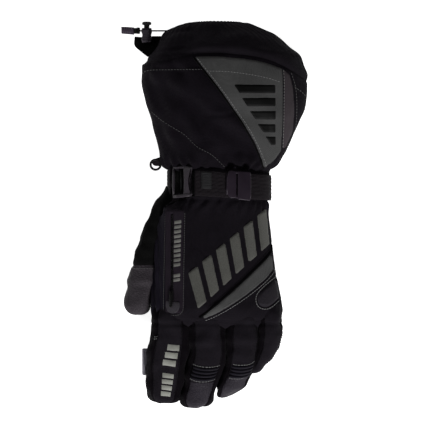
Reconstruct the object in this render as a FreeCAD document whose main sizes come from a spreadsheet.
import FreeCAD, Part
import os

import Sketcher
from FreeCAD import Placement, Rotation, Vector

# A left-hand insulated gauntlet glove lying palm down, in millimetres.
# +Y runs from the fingertips to the cuff's mouth, +X to the little-finger side and
# +Z out of the back of the hand. The origin is on the flat palm patch.

SECTION_FIELDS = ("y", "cx", "cz", "hw", "hh")

# Oval cross-sections: place along Y, centre X and Z, half width and half height.
SECTIONS = {
    "hand_front": (-56, 2.5, 27, 63.5, 23.5),
    "palm_front": (-26, 3, 26.5, 61.5, 24.5),
    "palm_middle": (0, 1, 26, 57.5, 24.5),
    "palm_back": (52, -2, 26, 55, 24.5),
    "wrist_front": (70, 4.25, 26.75, 49.5, 24.75),
    "wrist_back": (100, 4.25, 26.75, 49.5, 24.75),
    "hand_end": (109, 4.5, 27, 50.2, 25),
    "cuff_throat": (104, 4.5, 27, 56, 26),
    "cuff_flare": (122, 7.5, 30, 64.5, 29),
    "cuff_middle": (148, 10.5, 33, 73, 32),
    "cuff_wide": (172, 11.5, 36, 80, 35),
    "cuff_full": (196, 8, 38, 81.5, 37),
    "cuff_seam": (212, 7.5, 38, 79.5, 37),
    "hem_seam": (206, 7.5, 38, 80, 37),
    "hem_bulge": (220, 7.5, 38, 69.5, 36),
    "hem_fold": (232, 5, 38, 58.5, 33),
    "hem_lip": (240, 2, 38, 50, 30),
    "hem_mouth": (248, -1, 38, 39, 24),
    "thumb_root": (40, -66.8, 18, 10.3, 10.2),
    "thumb_seam": (4, -70.6, 16, 12.5, 12.4),
    "thumb_swell": (-18, -75, 14.5, 12.6, 12.5),
    "thumb_taper": (-35, -78, 13, 10.6, 10.5),
    "thumb_end": (-44, -79.4, 12, 6.4, 6.3),
    "gusset_back": (80, -48, 20, 6, 5.9),
    "gusset_front": (34, -67, 18, 10.3, 10.2),
    "passage_back": (74, -38, 22, 9, 8.9),
    "passage_front": (30, -67.5, 18, 5.4, 5.3),
}

HAND = ("hand_front", "palm_front", "palm_middle", "palm_back", "wrist_front", "wrist_back", "hand_end")
CUFF = ("cuff_throat", "cuff_flare", "cuff_middle", "cuff_wide", "cuff_full", "cuff_seam")
HEM = ("hem_seam", "hem_bulge", "hem_fold", "hem_lip", "hem_mouth")

# Each finger: root X, half width, half height, base length, tip length, drop along each.
FINGER_FIELDS = ("x", "hw", "hh", "base", "tip", "base_drop", "tip_drop")
FINGERS = {
    "index": (-44.4, 17.6, 15, 38, 48, 2.5, 12),
    "middle": (-7.6, 18.4, 15, 40, 49, 2.5, 12),
    "ring": (27.2, 15.6, 15, 36, 42, 2.5, 12),
    "little": (54.8, 11.4, 11.2, 28, 25, 3, 9),
}
SWAY = {"index": 0.06, "middle": 0.066, "ring": 0.072, "little": 0.08}

SIZES = {
    "fabric": 1.2,
    "lining_out": 2.8,
    "lining_in": 7.2,
    "finger_lining_out": 1.6,
    "finger_lining_in": 5.0,
    "cuff_lining_in": 2.6,
    "gap": 0.5,
    "knuckle_y": -48,
    "knuckle_z": 27,
    "knuckle_flex": 70,
    "middle_flex": 75,
    "wrist_y": 106,
    "wrist_z": 27,
    "wrist_flex": 20,
    "thumb_y": 36,
    "thumb_z": 18,
    "thumb_flex": 40,
    "thumb_tip_y": 4,
    "thumb_tip_z": 16,
    "thumb_tip_flex": 50,
    "hem_y": 208,
    "mouth_y": 246,
    "side_left": -46,
    "side_right": 50,
    "panel_z": 27,
    "zip_x": -43,
    "zip_z": 45.5,
    "zip_lean": 26,
    "welt_wide": 17,
    "welt_low": -42,
    "welt_high": 60,
    "groove_wide": 6,
    "coil_r": 1.0,
    "slider_low": -30,
    "slider_long": 9,
    "pull_y": -22.5,
    "pull_z": 2.5,
    "pull_long": 14,
    "pin_r": 0.5,
    "pin_hole_r": 0.56,
    "strap_low": 72,
    "strap_high": 98,
    "strap_in": 2.2,
    "strap_out": 3.8,
    "lock_x": -32,
    "lock_y": 86,
    "lock_z": 46.1,
    "lock_lean": 27,
    "lock_wide": 22,
    "lock_tall": 31,
    "lock_thick": 3.6,
    "buckle_x": 22.5,
    "buckle_y": 85,
    "buckle_z": 49.75,
    "buckle_lean": 11.2,
    "buckle_wide": 25,
    "buckle_tall": 31,
    "cord_y": 238.5,
    "cord_z": 38,
    "cord_r": 0.75,
    "toggle_x": -68,
    "toggle_wide": 11,
    "toggle_tall": 15,
    "toggle_thick": 9,
    "flap_z": 29.8,
    "flap_thick": 3.2,
    "plunger_r": 2.8,
    "plunger_hole_r": 3.0,
    "link_x": -80,
    "link_pin_r": 0.9,
    "link_hole_r": 0.96,
    "ring_r": 5,
    "ring_wire": 0.9,
    "loop_x": -59.5,
    "loop_y": 108,
    "loop_z": 27,
}

doc = FreeCAD.newDocument("glove")
sheet = doc.addObject("Spreadsheet::Sheet", "sheet")
nodes = []


def fill_sheet():
    """Writes every driving dimension to the sheet, one named cell to a row."""
    cells = dict(SIZES)
    for section, values in SECTIONS.items():
        cells.update({f"{section}_{f}": v for f, v in zip(SECTION_FIELDS, values)})
    for finger, values in FINGERS.items():
        cells.update({f"{finger}_{f}": v for f, v in zip(FINGER_FIELDS, values)})
        cells[f"{finger}_sway"] = SWAY[finger]
    for row, (name, value) in enumerate(cells.items(), 1):
        sheet.set(f"A{row}", name)
        sheet.set(f"B{row}", str(value))
        sheet.setAlias(f"B{row}", name)
    doc.recompute()


def size(name):
    """The value of a named cell."""
    return float(sheet.get(name))


def bind(item, **expressions):
    """Binds an object's properties to sheet expressions; _ in a name stands for a dot."""
    for name, expression in expressions.items():
        item.setExpression(name.replace("_", "."), expression)
    return item


def move(item, x="0", y="0", z="0", turn=None):
    """Binds an object's position, and gives it a fixed turn."""
    if turn:
        item.Placement = Placement(Vector(), turn)
    return bind(item, Placement_Base_x=x, Placement_Base_y=y, Placement_Base_z=z)


def box(x, y, z, wide, deep, tall):
    """A box from its lowest corner and its three sizes, all sheet expressions."""
    item = bind(doc.addObject("Part::Box", "box"), Length=wide, Width=deep, Height=tall)
    return move(item, x, y, z)


def cylinder(x, y, z, radius, height, turn=None):
    """A cylinder from the middle of its base, standing along Z before its turn."""
    item = bind(doc.addObject("Part::Cylinder", "cylinder"), Radius=radius, Height=height)
    return move(item, x, y, z, turn)


ALONG_X = Rotation(Vector(0, 1, 0), 90)
ALONG_Y = Rotation(Vector(1, 0, 0), -90)


def cut(base, tool):
    item = doc.addObject("Part::Cut", "cut")
    item.Base, item.Tool = base, tool
    return item


def common(base, tool):
    item = doc.addObject("Part::Common", "common")
    item.Base, item.Tool = base, tool
    return item


def fuse(*items):
    item = doc.addObject("Part::MultiFuse", "fuse")
    item.Shapes = list(items)
    item.Refine = True
    return item


def outline(points, turn=None):
    """A closed sketch of straight lines, every corner bound to a pair of expressions."""
    sketch = doc.addObject("Sketcher::SketchObject", "outline")
    if turn:
        sketch.Placement = Placement(Vector(), turn)
    probe = [[float(sheet.evalExpression(str(e))) for e in point] for point in points]
    count = len(points)
    for i in range(count):
        start, end = probe[i], probe[(i + 1) % count]
        sketch.addGeometry(Part.LineSegment(Vector(*start, 0), Vector(*end, 0)), False)
    for i in range(count):
        sketch.addConstraint(Sketcher.Constraint("Coincident", i, 2, (i + 1) % count, 1))
    for i, point in enumerate(points):
        for kind, name, j in (("DistanceX", "across", 0), ("DistanceY", "up", 1)):
            index = sketch.addConstraint(Sketcher.Constraint(kind, -1, 1, i, 1, probe[i][j]))
            sketch.renameConstraint(index, f"{name}{i}")
            sketch.setExpression(f"Constraints.{name}{i}", str(point[j]))
    return sketch


def extrude(sketch, direction, ahead, behind=0):
    item = doc.addObject("Part::Extrusion", "extrusion")
    item.Base, item.Dir, item.DirMode, item.Solid = sketch, direction, "Custom", True
    item.LengthFwd, item.LengthRev = ahead, behind
    return item


def upright(points):
    """A prism over the glove's upper side, from an outline in the plan view."""
    sketch = outline(points)
    bind(sketch, Placement_Base_z="sheet.panel_z")
    return extrude(sketch, Vector(0, 0, 1), 60)


ACROSS = Rotation(Vector(0, 1, 0), 90) * Rotation(Vector(0, 0, 1), 90)  # sketch X, Y on model Y, Z


def profile(points):
    """A wide prism from an outline of (y, z) corners in the side view."""
    return extrude(outline(points, ACROSS), Vector(1, 0, 0), 110, 110)


def oval(y, cx, cz, hw, hh, inset):
    """One cross-section across the glove, set in from its stated size."""
    item = doc.addObject("Part::Ellipse", "oval")
    bind(item, MajorRadius=f"{hw} - {inset}", MinorRadius=f"{hh} - {inset}")
    return move(item, cx, y, cz, Rotation(Vector(1, 0, 0), 90))


def loft(ovals):
    item = doc.addObject("Part::Loft", "loft")
    item.Sections, item.Solid, item.Ruled = ovals, True, True
    return item


made = {}


def skin(sections, inset):
    """The solid form through named cross-sections, set in all round."""
    key = (sections, inset)
    if key not in made:
        made[key] = loft([oval(*(f"sheet.{s}_{f}" for f in SECTION_FIELDS), inset) for s in sections])
    return made[key]


def layer(sections, outer, inner):
    """The material between two insets of one form."""
    key = (sections, outer, inner)
    if key not in made:
        made[key] = cut(skin(sections, outer), skin(sections, inner))
    return made[key]


def node(item, label):
    """Names a finished piece."""
    item.Label = label
    nodes.append(item)
    return item


def between(y, z, flex, reach, side, gap="sheet.gap"):
    """Corners of a joint's end face: upright above its axis, leaning half the flex below it."""
    face = f"{y} + {side} * {gap}"
    return (face, z), (f"{face} + {side} * {reach} * tan({flex} / 2)", f"{z} - {reach}")


# The hand: four fabric panels round one insulated lining, cut back below the knuckles.

def hand_profile():
    high, low = between("sheet.knuckle_y", "sheet.knuckle_z", "sheet.knuckle_flex", "32", "1")
    end = "sheet.wrist_y - sheet.gap"
    return profile([high, (high[0], "70"), (end, "70"), (end, "-5"), low])


def hand_region(left, right, low, high):
    deep = "sheet.wrist_y - sheet.knuckle_y + 20"
    return box(left, "sheet.knuckle_y - 10", low, f"{right} - ({left})", deep, f"{high} - ({low})")


def make_hand(side_view, passage):
    fabric = common(layer(HAND, "0", "sheet.fabric"), side_view)
    left, right, seam = "sheet.side_left", "sheet.side_right", "sheet.panel_z"
    node(common(fabric, hand_region(left, right, seam, "70")), "hand_back_panel")
    node(common(fabric, hand_region(left, right, "-5", seam)), "hand_palm_panel")
    wall = common(fabric, hand_region("-80", left, "-5", "70"))
    node(cut(wall, passage), "thumb_side_wall")
    node(common(fabric, hand_region(right, "80", "-5", "70")), "little_side_wall")
    lining = common(layer(HAND, "sheet.lining_out", "sheet.lining_in"), side_view)
    node(cut(lining, passage), "hand_insulated_lining")
    bag = common(layer(HAND, "1.5", "2.5"), side_view)
    node(common(bag, box("-52", "-34", "26", "22", "88", "40")), "pocket_bag")
    pad = box("-24", "-16", "0", "50", "66", "8")
    node(cut(pad, skin(HAND, "0")), "palm_grip_patch")


def make_patch(form, outer, inner, points, label):
    """A thin piece sewn on a form's upper side, with an outline in the plan view."""
    return node(common(layer(form, outer, inner), upright(points)), label)


def slant_bars(start_x, start_y, step_x, step_y, wide, tall, lean, count):
    """A row of leaning bars in the plan view, as separate prisms."""
    bars = []
    for i in range(count):
        x, y = start_x + i * step_x, start_y + i * step_y
        corners = [(x, y), (x + wide, y), (x + wide + lean, y + tall), (x + lean, y + tall)]
        bars.append(upright(corners))
    return bars


def make_hand_trim():
    stripe = [(-16, -48), (8, -36), (33, -17), (50, 4), (59, 22), (60, 8), (52, -10), (34, -30), (8, -46)]
    make_patch(HAND, "-0.9", "-0.1", stripe, "accent_stripe")
    knuckle = [(62, -5), (62, -30), (50, -35), (44, -32), (42, -26), (46, -20)]
    make_patch(HAND, "-0.9", "-0.1", knuckle, "knuckle_patch")
    bars = fuse(*slant_bars(-24, -30, 19, 17, 11, 30, 8, 4))
    node(common(layer(HAND, "-0.7", "-0.1"), bars), "back_embroidery")


# The zip pocket on the back: a leaning welt with the zip in its groove.

def zip_place(item, y="0"):
    item.Placement = Placement(Vector(), Rotation(Vector(0, 1, 0), -size("zip_lean")))
    return bind(item, Placement_Base_x="sheet.zip_x", Placement_Base_y=y, Placement_Base_z="sheet.zip_z")


def make_zip_pocket():
    half = "sheet.welt_wide / 2"
    long = "sheet.welt_high - sheet.welt_low"
    slab = box(f"-{half}", "sheet.welt_low", "-12", "sheet.welt_wide", long, "12")
    groove = box("-sheet.groove_wide / 2", "sheet.welt_low + 6", "-2", "sheet.groove_wide", f"{long} - 10", "2.5")
    welt = cut(zip_place(cut(slab, groove)), skin(HAND, "0"))
    node(welt, "pocket_welt")
    tape = box("-2.7", "sheet.welt_low + 6.3", "-2", "5.4", f"{long} - 10.6", "0.8")
    coil = cylinder("0", "sheet.welt_low + 6.3", "-1.2", "sheet.coil_r", f"{long} - 10.6", ALONG_Y)
    node(zip_place(cut(fuse(tape, coil), box("-3", "-60", "-4", "6", "140", "2"))), "zip_tape")
    patch = box("-7", "sheet.welt_low", "0", "14", "10.5", "0.8")
    rounded = doc.addObject("Part::Fillet", "fillet")
    rounded.Base = patch
    doc.recompute()
    rounded.Edges = [(i, 4.5, 4.5) for i, e in enumerate(patch.Shape.Edges, 1)
                     if abs(e.tangentAt(e.FirstParameter).z) > 0.9 and e.CenterOfMass.y < size("welt_low") + 1]
    node(zip_place(rounded), "zip_end_patch")
    make_slider()


def make_slider():
    low, long = "sheet.slider_low", "sheet.slider_long"
    shell = box("-2.6", low, "-0.9", "5.2", long, "2.5")
    channel = box("-1.35", f"{low} - 1", "-1", "2.7", f"{long} + 2", "1.15")
    lugs = [box(x, "sheet.pull_y - 1.3", "1.5", "0.7", "2.6", "2.3") for x in ("-2.6", "1.9")]
    hole = cylinder("-5", "sheet.pull_y", "sheet.pull_z", "sheet.pin_hole_r", "10", ALONG_X)
    node(zip_place(cut(cut(fuse(shell, *lugs), channel), hole)), "zip_slider")
    pin = cylinder("-2.5", "sheet.pull_y", "sheet.pull_z", "sheet.pin_r", "5", ALONG_X)
    eye = cylinder("-1.5", "sheet.pull_y", "sheet.pull_z", "0.8", "3", ALONG_X)
    tab = box("-1.5", "sheet.pull_y - sheet.pull_long", "sheet.pull_z - 0.5", "3", "sheet.pull_long", "1")
    node(zip_place(fuse(pin, eye, tab)), "zip_pull")


# The fingers and the thumb: a base and a tip each, with a wedge cut out on the palm side.

def finger_sections(finger):
    """Expressions for a finger's cross-sections, from behind the knuckle to the tip."""
    name = f"sheet.{finger}"
    stations = (("-6", "0", "1"), (f"{name}_base", "0", "1"), (f"{name}_base", "0.55", "0.97"),
                (f"{name}_base", "0.85", "0.8"), (f"{name}_base", "1", "0.5"))
    found = []
    for base, share, scale in stations:
        along = f"({base} + {share} * {name}_tip)"
        drop = f"({name}_base_drop * {base} / {name}_base + {share} * {name}_tip_drop)"
        found.append((f"sheet.knuckle_y - {along}", f"{name}_x - {name}_sway * {along}",
                      f"sheet.knuckle_z - {drop}", f"{scale} * {name}_hw", f"{scale} * {name}_hh"))
    return found


def thumb_sections():
    names = ("thumb_root", "thumb_seam", "thumb_swell", "thumb_taper", "thumb_end")
    return [tuple(f"sheet.{n}_{f}" for f in SECTION_FIELDS) for n in names]


def closed_tube(sections, outer, inner):
    """A tube closed at its tip, as thick there as along its sides."""
    solids = []
    for inset in (outer, inner):
        last = (f"{sections[-1][0]} + {inset}",) + sections[-1][1:]
        solids.append(loft([oval(*s, inset) for s in sections[:-1] + [last]]))
    return cut(*solids)


def make_digit(name, sections, root, joint, reach, labels):
    """Splits a digit's fabric and lining at its two joints, each given as (y, z, flex)."""
    root_high, root_low = between(*root, reach, "-1")
    near_high, near_low = between(*joint, reach, "1")
    far_high, far_low = between(*joint, f"({joint[1]} + 6)", "-1")
    top = "70"
    base = profile([root_high, (root_high[0], top), (near_high[0], top), near_high, near_low, root_low])
    tip = profile([far_high, (far_high[0], top), ("-150", top), ("-150", "-6"), far_low])
    shells = closed_tube(sections, "0", "sheet.fabric")
    linings = closed_tube(sections, "sheet.finger_lining_out", "sheet.finger_lining_in")
    node(common(shells, base), labels[0])
    node(common(shells, tip), labels[1])
    node(common(linings, base), f"{name}_base_lining")
    node(common(linings, tip), f"{name}_tip_lining")


def make_fingers():
    for finger in FINGERS:
        name = f"sheet.{finger}"
        middle_y = f"sheet.knuckle_y - {name}_base"
        middle_z = f"sheet.knuckle_z - {name}_base_drop"
        root = ("sheet.knuckle_y", "sheet.knuckle_z", "sheet.knuckle_flex")
        joint = (middle_y, middle_z, "sheet.middle_flex")
        labels = (f"{finger}_finger_base", f"{finger}_finger_tip")
        make_digit(f"{finger}_finger", finger_sections(finger), root, joint, f"({name}_hh + 3)", labels)


def make_thumb(passage):
    root = ("sheet.thumb_y", "sheet.thumb_z", "sheet.thumb_flex")
    joint = ("sheet.thumb_tip_y", "sheet.thumb_tip_z", "sheet.thumb_tip_flex")
    labels = ("thumb_fleece_panel", "thumb_leather_cap")
    make_digit("thumb", thumb_sections(), root, joint, "14", labels)
    gusset = skin(("gusset_back", "gusset_front"), "0")
    face = "sheet.thumb_y + sheet.gap"
    lean = f"{face} + 30 * tan(sheet.thumb_flex / 2)"
    strap = "sheet.strap_low - 0.5"
    side_view = profile([(face, "sheet.thumb_z"), (face, "60"), (strap, "60"), (strap, "-12"),
                         (lean, "sheet.thumb_z - 30")])
    outside = cut(common(gusset, side_view), skin(HAND, "0"))
    node(cut(outside, passage), "thumb_gusset")


def make_flex_ribs(finger):
    """Four ridges over a finger's middle, on the tip side of its joint."""
    sections = finger_sections(finger)
    lofts = [loft([oval(*s, inset) for s in sections[1:4]]) for inset in ("-1.6", "-0.1")]
    bars = []
    for i in range(4):
        place = f"sheet.knuckle_y - sheet.{finger}_base - {2.2 + 4.2 * (i + 1)}"
        bars.append(box(f"sheet.{finger}_x - 16", place, "sheet.knuckle_z - 2", "26", "2.6", "30"))
    node(common(cut(*lofts), fuse(*bars)), f"{finger}_flex_ribs")


def make_finger_trim():
    for finger in ("middle", "ring"):
        make_flex_ribs(finger)
    sections = finger_sections("index")
    lofts = [loft([oval(*s, inset) for s in sections[1:4]]) for inset in ("-0.9", "-0.1")]
    region = box("-75", "-122", "12", "16", "27", "16")
    node(common(cut(*lofts), region), "index_label_tag")


# The gauntlet cuff, its lining and the gathered hem.

def make_cuff():
    face = "sheet.wrist_y + sheet.gap"
    lean = "tan(sheet.wrist_flex)"
    corners = [(face, "sheet.wrist_z"), (f"{face} + 48 * {lean}", "sheet.wrist_z + 48"),
               ("sheet.hem_y", "sheet.wrist_z + 60"), ("sheet.hem_y", "-6"),
               (f"{face} + 33 * {lean}", "sheet.wrist_z - 33")]
    side_view = profile(corners)
    fabric = common(layer(CUFF, "0", "sheet.fabric"), side_view)
    upper = box("-100", "100", "34", "200", "120", "60")
    node(common(fabric, upper), "gauntlet_back_panel")
    node(cut(fabric, upper), "gauntlet_palm_panel")
    node(common(layer(CUFF, "1.5", "sheet.cuff_lining_in"), side_view), "gauntlet_lining")
    accent = [(-21, 207), (66, 207), (66, 124), (50, 116), (40, 124), (29, 146), (10, 174)]
    make_patch(CUFF, "-0.9", "-0.1", accent, "gauntlet_accent_panel")
    strip = [(68, 207), (79, 196), (78, 142), (68, 124)]
    make_patch(CUFF, "-0.9", "-0.1", strip, "gauntlet_side_strip")
    emblem = fuse(*slant_bars(24, 180, 12, -24, 14, 16, -8, 3))
    node(common(layer(CUFF, "-1.6", "-1.0"), emblem), "gauntlet_emblem")


def make_hem():
    channel = common(layer(HEM, "0.5", "2.1"), box("-100", "sheet.cord_y - 1.6", "-5", "200", "3.2", "90"))
    eyelet = cylinder("sheet.toggle_x", "sheet.cord_y", "sheet.cord_z", "1.0", "24", ALONG_X)
    length = box("-100", "sheet.hem_y + 0.4", "-5", "200", "sheet.mouth_y - sheet.hem_y - 0.4", "90")
    hem = common(layer(HEM, "0", "2.6"), length)
    node(cut(cut(hem, channel), eyelet), "gauntlet_hem")
    cord = common(layer(HEM, "0.7", "1.9"), box("-100", "sheet.cord_y - 0.8", "-5", "200", "1.6", "90"))
    tail = cylinder("sheet.link_x + 2.6", "sheet.cord_y", "sheet.cord_z", "sheet.cord_r", "31.5", ALONG_X)
    node(fuse(cord, tail), "hem_drawcord")


# The cord lock beside the hem, its anchor webbing, its end link and its pull tab.

def make_cord_lock():
    x, y, z = "sheet.toggle_x", "sheet.cord_y", "sheet.cord_z"
    wide, tall, thick = "sheet.toggle_wide", "sheet.toggle_tall", "sheet.toggle_thick"
    block = box(f"{x} - {wide} / 2", f"{y} - 12", f"{z} - {thick} / 2", wide, tall, thick)
    soft = doc.addObject("Part::Fillet", "fillet")
    soft.Base = block
    doc.recompute()
    soft.Edges = [(i, 1.4, 1.4) for i in range(1, 13)]
    chamber = cylinder(x, f"{y} - 10.5", z, "sheet.plunger_hole_r", "20", ALONG_Y)
    across = cylinder(f"{x} - 10", y, z, "1.1", "20", ALONG_X)
    node(cut(cut(soft, chamber), across), "cord_lock_body")
    stem = cylinder(x, f"{y} - 6", z, "sheet.plunger_r", "12.5", ALONG_Y)
    cap = cylinder(x, f"{y} + 6.5", z, "3.9", "2.2", ALONG_Y)
    window = box(f"{x} - 5", f"{y} - 1.1", f"{z} - 1.3", "10", "5.2", "2.6")
    node(cut(fuse(stem, cap), window), "cord_lock_plunger")
    coil = cylinder(x, f"{y} - 10.4", z, "2.4", "4.2", ALONG_Y)
    bore = cylinder(x, f"{y} - 11", z, "1.5", "6", ALONG_Y)
    node(cut(coil, bore), "cord_lock_spring")
    flap = upright([(-80.5, 233.5), (-80.7, 224.5), (-67.5, 213), (-55, 213), (-50, 234), (-62, 234)])
    webbing = common(flap, box("-85", "210", "sheet.flap_z", "40", "30", "sheet.flap_thick"))
    node(cut(webbing, skin(HEM, "0")), "cinch_anchor_webbing")


def make_cinch_pull():
    x, y, z = "sheet.link_x", "sheet.cord_y", "sheet.cord_z"
    cheeks = [box(f"{x} - 2", f"{y} - 2", f"{z} + {low}", "6", "4", "1.2") for low in ("1.5", "(-2.7)")]
    bridge = box(f"{x} + 2.6", f"{y} - 2", f"{z} - 2.7", "1.4", "4", "5.4")
    pin = cylinder(x, y, f"{z} - 2", "sheet.link_pin_r", "4")
    tail = cylinder(f"{x} + 2.6", y, z, "sheet.cord_r", "6", ALONG_X)
    node(cut(fuse(bridge, pin, *cheeks), tail), "cord_end_link")
    body = doc.addObject("PartDesign::Body", "pull_tab")
    sketch = plan_sketch(body, [(1.4, -1.6), (1.4, 1.6), (-3, 4), (-13.5, 4), (-13.5, -4), (-3, -4)], "face")
    pad = add_pad(body, sketch, 2.4)
    eye = body.newObject("Sketcher::SketchObject", "eye")
    on_plane(body, eye)
    eye.addGeometry(Part.Circle(Vector(), Vector(0, 0, 1), size("link_hole_r")), False)
    eye.addConstraint(Sketcher.Constraint("Coincident", 0, 3, -1, 1))
    index = eye.addConstraint(Sketcher.Constraint("Radius", 0, size("link_hole_r")))
    eye.renameConstraint(index, "eye")
    eye.setExpression("Constraints.eye", "sheet.link_hole_r")
    add_pocket(body, eye, pad)
    move(body, x, y, f"{z} - 1.2")
    node(body, "cinch_pull_tab")


def on_plane(body, sketch):
    plane = next(f for f in body.Origin.OriginFeatures if f.Role == "XY_Plane")
    sketch.AttachmentSupport = [(plane, "")]
    sketch.MapMode = "FlatFace"


def plan_sketch(body, points, name):
    """A closed outline of straight lines on a body's XY plane, each corner dimensioned."""
    sketch = body.newObject("Sketcher::SketchObject", name)
    on_plane(body, sketch)
    count = len(points)
    for i in range(count):
        sketch.addGeometry(Part.LineSegment(Vector(*points[i], 0), Vector(*points[(i + 1) % count], 0)), False)
    for i in range(count):
        sketch.addConstraint(Sketcher.Constraint("Coincident", i, 2, (i + 1) % count, 1))
    for i, (x, y) in enumerate(points):
        sketch.addConstraint(Sketcher.Constraint("DistanceX", -1, 1, i, 1, float(x)))
        sketch.addConstraint(Sketcher.Constraint("DistanceY", -1, 1, i, 1, float(y)))
    return sketch


def add_pad(body, sketch, thick):
    pad = body.newObject("PartDesign::Pad", "pad")
    pad.Profile = sketch
    pad.Length = thick
    doc.recompute()
    return pad


def add_pocket(body, sketch, before):
    """Cuts a sketch right through, and makes sure that it did cut."""
    full = before.Shape.Volume
    pocket = body.newObject("PartDesign::Pocket", "pocket")
    pocket.Profile = sketch
    pocket.Type = "ThroughAll"
    pocket.Reversed = True
    doc.recompute()
    if not pocket.Shape.Volume < full:
        raise RuntimeError("a pocket cut nothing")
    return pocket


# The wrist strap, the ladder lock that tilts on it and the buckle that slides along it.

def make_strap():
    low, tall = "sheet.strap_low", "sheet.strap_high - sheet.strap_low"
    band = common(layer(HAND, "-sheet.strap_out", "-sheet.strap_in"), box("-80", low, "-9", "160", tall, "90"))
    opening = box("-60", "60", "30", "41", "50", "40")
    node(cut(band, opening), "wrist_strap")
    zone = box("-47.5", f"{low} + 2", "30", "11", f"{tall} - 4", "30")
    node(common(layer(HAND, "-1.4", "-0.1"), zone), "buckle_anchor_webbing")
    tab = box("-12.5", f"{low} + 3", "46", "9", f"{tall} - 8", "20")
    node(common(layer(HAND, "-5.2", "-3.9"), tab), "strap_end_tab")


def make_ladder_lock():
    half, tall = size("lock_wide") / 2, size("lock_tall") / 2
    body = doc.addObject("PartDesign::Body", "ladder_lock")
    frame = [(-half, -tall + 3), (-half + 3, -tall), (half - 1, -tall), (half - 3, 0), (half - 1, tall),
             (-half + 3, tall), (-half, tall - 3)]
    pad = add_pad(body, plan_sketch(body, frame, "frame"), size("lock_thick"))
    wide_slot = [(-half + 3.4, -12), (-half + 3.4, 12), (-1, 12), (-1, -12)]
    pad = add_pocket(body, plan_sketch(body, wide_slot, "wide_slot"), pad)
    thin_slot = [(3, -12), (3, 12), (5, 12), (5, -12)]
    pad = add_pocket(body, plan_sketch(body, thin_slot, "thin_slot"), pad)
    edges = [f"Edge{i}" for i, e in enumerate(pad.Shape.Edges, 1)
             if e.CenterOfMass.z > size("lock_thick") - 0.01 and abs(e.CenterOfMass.y) > tall - 0.5]
    soft = body.newObject("PartDesign::Fillet", "fillet")
    soft.Base = (pad, edges)
    soft.Radius = 1
    body.Placement = Placement(Vector(), Rotation(Vector(0, 1, 0), -size("lock_lean")))
    bind(body, Placement_Base_x="sheet.lock_x", Placement_Base_y="sheet.lock_y", Placement_Base_z="sheet.lock_z")
    node(body, "ladder_lock")


def make_slider_buckle():
    wide, tall = "sheet.buckle_wide", "sheet.buckle_tall"
    plate = box(f"-{wide} / 2", f"-{tall} / 2", "4.4", wide, tall, "2.2")
    slot = box("-1.6", f"-{tall} / 2 + 4", "4", "2.4", f"{tall} - 8", "4")
    lips = [box(f"-{wide} / 2", y, "1.0", wide, "1.8", "3.6") for y in (f"-{tall} / 2", f"{tall} / 2 - 1.8")]
    bar = box("-2", f"-{tall} / 2", "0.5", "4", tall, "0.9")
    whole = cut(fuse(plate, bar, *lips), slot)
    whole.Placement = Placement(Vector(), Rotation(Vector(0, 1, 0), size("buckle_lean")))
    bind(whole, Placement_Base_x="sheet.buckle_x", Placement_Base_y="sheet.buckle_y",
         Placement_Base_z="sheet.buckle_z")
    node(whole, "slider_buckle")


def make_hang_ring():
    """A wire ring round the upright bar of a small staple on the cuff's thumb side."""
    x, y, z = "sheet.loop_x", "sheet.loop_y", "sheet.loop_z"
    bar = cylinder(x, y, f"{z} - 4", "1.1", "8")
    prongs = [box(f"{x} - 1", f"{y} - 1.1", f"{z} + {low}", "14", "6.6", "1.4") for low in ("3.4", "(-4.8)")]
    node(cut(fuse(bar, *prongs), skin(CUFF, "0")), "hang_loop")
    ring = bind(doc.addObject("Part::Torus", "torus"), Radius1="sheet.ring_r", Radius2="sheet.ring_wire")
    move(ring, x, f"{y} - sheet.ring_r + 2.4", z)
    node(ring, "hang_ring")


def check_and_write():
    """Stops on any failed object, then writes each piece to its own file."""
    doc.recompute()
    failed = [o.Name for o in doc.Objects if "Invalid" in o.State or "Error" in o.State]
    if failed:
        raise RuntimeError(f"failed objects: {failed}")
    os.makedirs("parts", exist_ok=True)
    for item in nodes:
        shape = item.Shape
        if shape.isNull() or not shape.isValid() or not shape.Solids:
            raise RuntimeError(f"{item.Label} has no valid solid")
        shape.exportStep(f"parts/{item.Label}.step")
        print(f"{item.Label}: {len(shape.Solids)} solids, {shape.Volume:.1f} mm3")
    print(len(nodes), "nodes")


fill_sheet()
thumb_passage = skin(("passage_back", "passage_front"), "0")
make_hand(hand_profile(), thumb_passage)
make_hand_trim()
make_zip_pocket()
make_fingers()
make_finger_trim()
make_thumb(thumb_passage)
make_cuff()
make_hem()
make_cord_lock()
make_cinch_pull()
make_strap()
make_ladder_lock()
make_slider_buckle()
make_hang_ring()
check_and_write()
